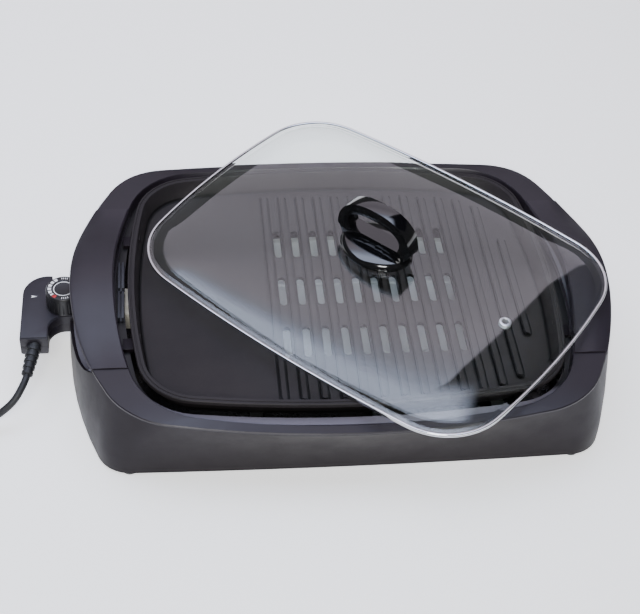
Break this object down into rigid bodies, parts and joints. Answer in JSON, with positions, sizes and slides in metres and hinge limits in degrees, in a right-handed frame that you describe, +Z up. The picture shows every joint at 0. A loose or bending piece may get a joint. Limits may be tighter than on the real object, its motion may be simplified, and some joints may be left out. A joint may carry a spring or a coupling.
{
  "type": "electric indoor grill",
  "caption": "Tabletop electric grill: flared charcoal base with arched handles, lift-out ridged plate, loose glass lid laid askew on top, and a pull-out thermostat control with dial and cord.",
  "frame": {"origin": "centre of the base on the table plane; the flat underside of the base's lip is one foot height above it", "axes": "+Z up; X along the long side with the control and cord at -X; +Y toward the back"},
  "size_m": [0.728, 0.453, 0.1691],
  "materials": {
    "charcoal_plastic": "satin moulded charcoal",
    "handle_plastic": "satin moulded blue-grey charcoal",
    "recess_plastic": "matt moulded lighter grey",
    "pan_enamel": "black enamelled sheet steel",
    "nonstick": "dark warm-grey non-stick coat on cast aluminium",
    "tray_aluminium": "bright pressed sheet",
    "heater_sheath": "dull heat-darkened sheath",
    "steel": "bright steel",
    "zinc_steel": "plated steel",
    "light_plastic": "light grey moulded plastic",
    "ceramic": "off-white ceramic",
    "glass": "clear tempered glass",
    "gloss_black": "glossy black moulded phenolic",
    "rubber": "soft black",
    "cord_rubber": "satin black flexible jacket",
    "brass": "plain",
    "bimetal": "coppery strip"
  },
  "bodies": {
    "base": {"base_shell": "charcoal_plastic", "top_frame": "charcoal_plastic", "handle_left": "handle_plastic", "handle_right": "handle_plastic", "recess_left": "recess_plastic", "recess_right": "recess_plastic", "handle_screws": "zinc_steel", "base_pan": "pan_enamel", "pan_screws": "zinc_steel", "foot_pads": "rubber", "plate_rests": "charcoal_plastic", "socket_guard": "light_plastic", "drip_tray": "tray_aluminium", "heating_element": "heater_sheath", "heater_brackets": "zinc_steel", "terminal_block": "ceramic", "terminal_pins": "steel"},
    "plate": {"grill_plate": "nonstick", "probe_boss": "nonstick", "probe_cheeks": "nonstick"},
    "lid": {"lid_glass": "glass", "lid_rim": "steel", "vent_grommet": "steel", "lid_handle": "gloss_black", "handle_boss": "gloss_black", "lid_screw": "zinc_steel", "lid_washer": "rubber"},
    "control": {"control_top": "charcoal_plastic", "control_bottom": "charcoal_plastic", "housing_screws": "zinc_steel", "probe_tube": "steel", "probe_collar": "brass", "contact_sleeves": "brass", "thermostat_frame": "zinc_steel", "bimetal_strip": "bimetal", "contact_arm": "brass", "strain_relief": "cord_rubber", "cord": "cord_rubber", "cord_coil": "cord_rubber", "coil_tie": "rubber", "cord_tail": "cord_rubber", "plug_body": "cord_rubber", "plug_blades": "brass"},
    "dial": {"dial_knob": "gloss_black", "dial_shaft": "zinc_steel"}
  },
  "joints": [
    {"name": "plate_lift", "type": "slide", "parent": "base", "child": "plate", "axis": [0, 0, 1], "range_m": [0, 0.12]},
    {"name": "lid_lift", "type": "slide", "parent": "plate", "child": "lid", "axis": [0, 0, 1], "range_m": [0, 0.2]},
    {"name": "control_pull", "type": "slide", "parent": "base", "child": "control", "axis": [-1, 0, 0], "range_m": [0, 0.12]},
    {"name": "dial_turn", "type": "hinge", "parent": "control", "child": "dial", "pos_m": [-0.2755, 0, 0.07], "axis": [0, 0, -1], "range_deg": [0, 270]}
  ]
}
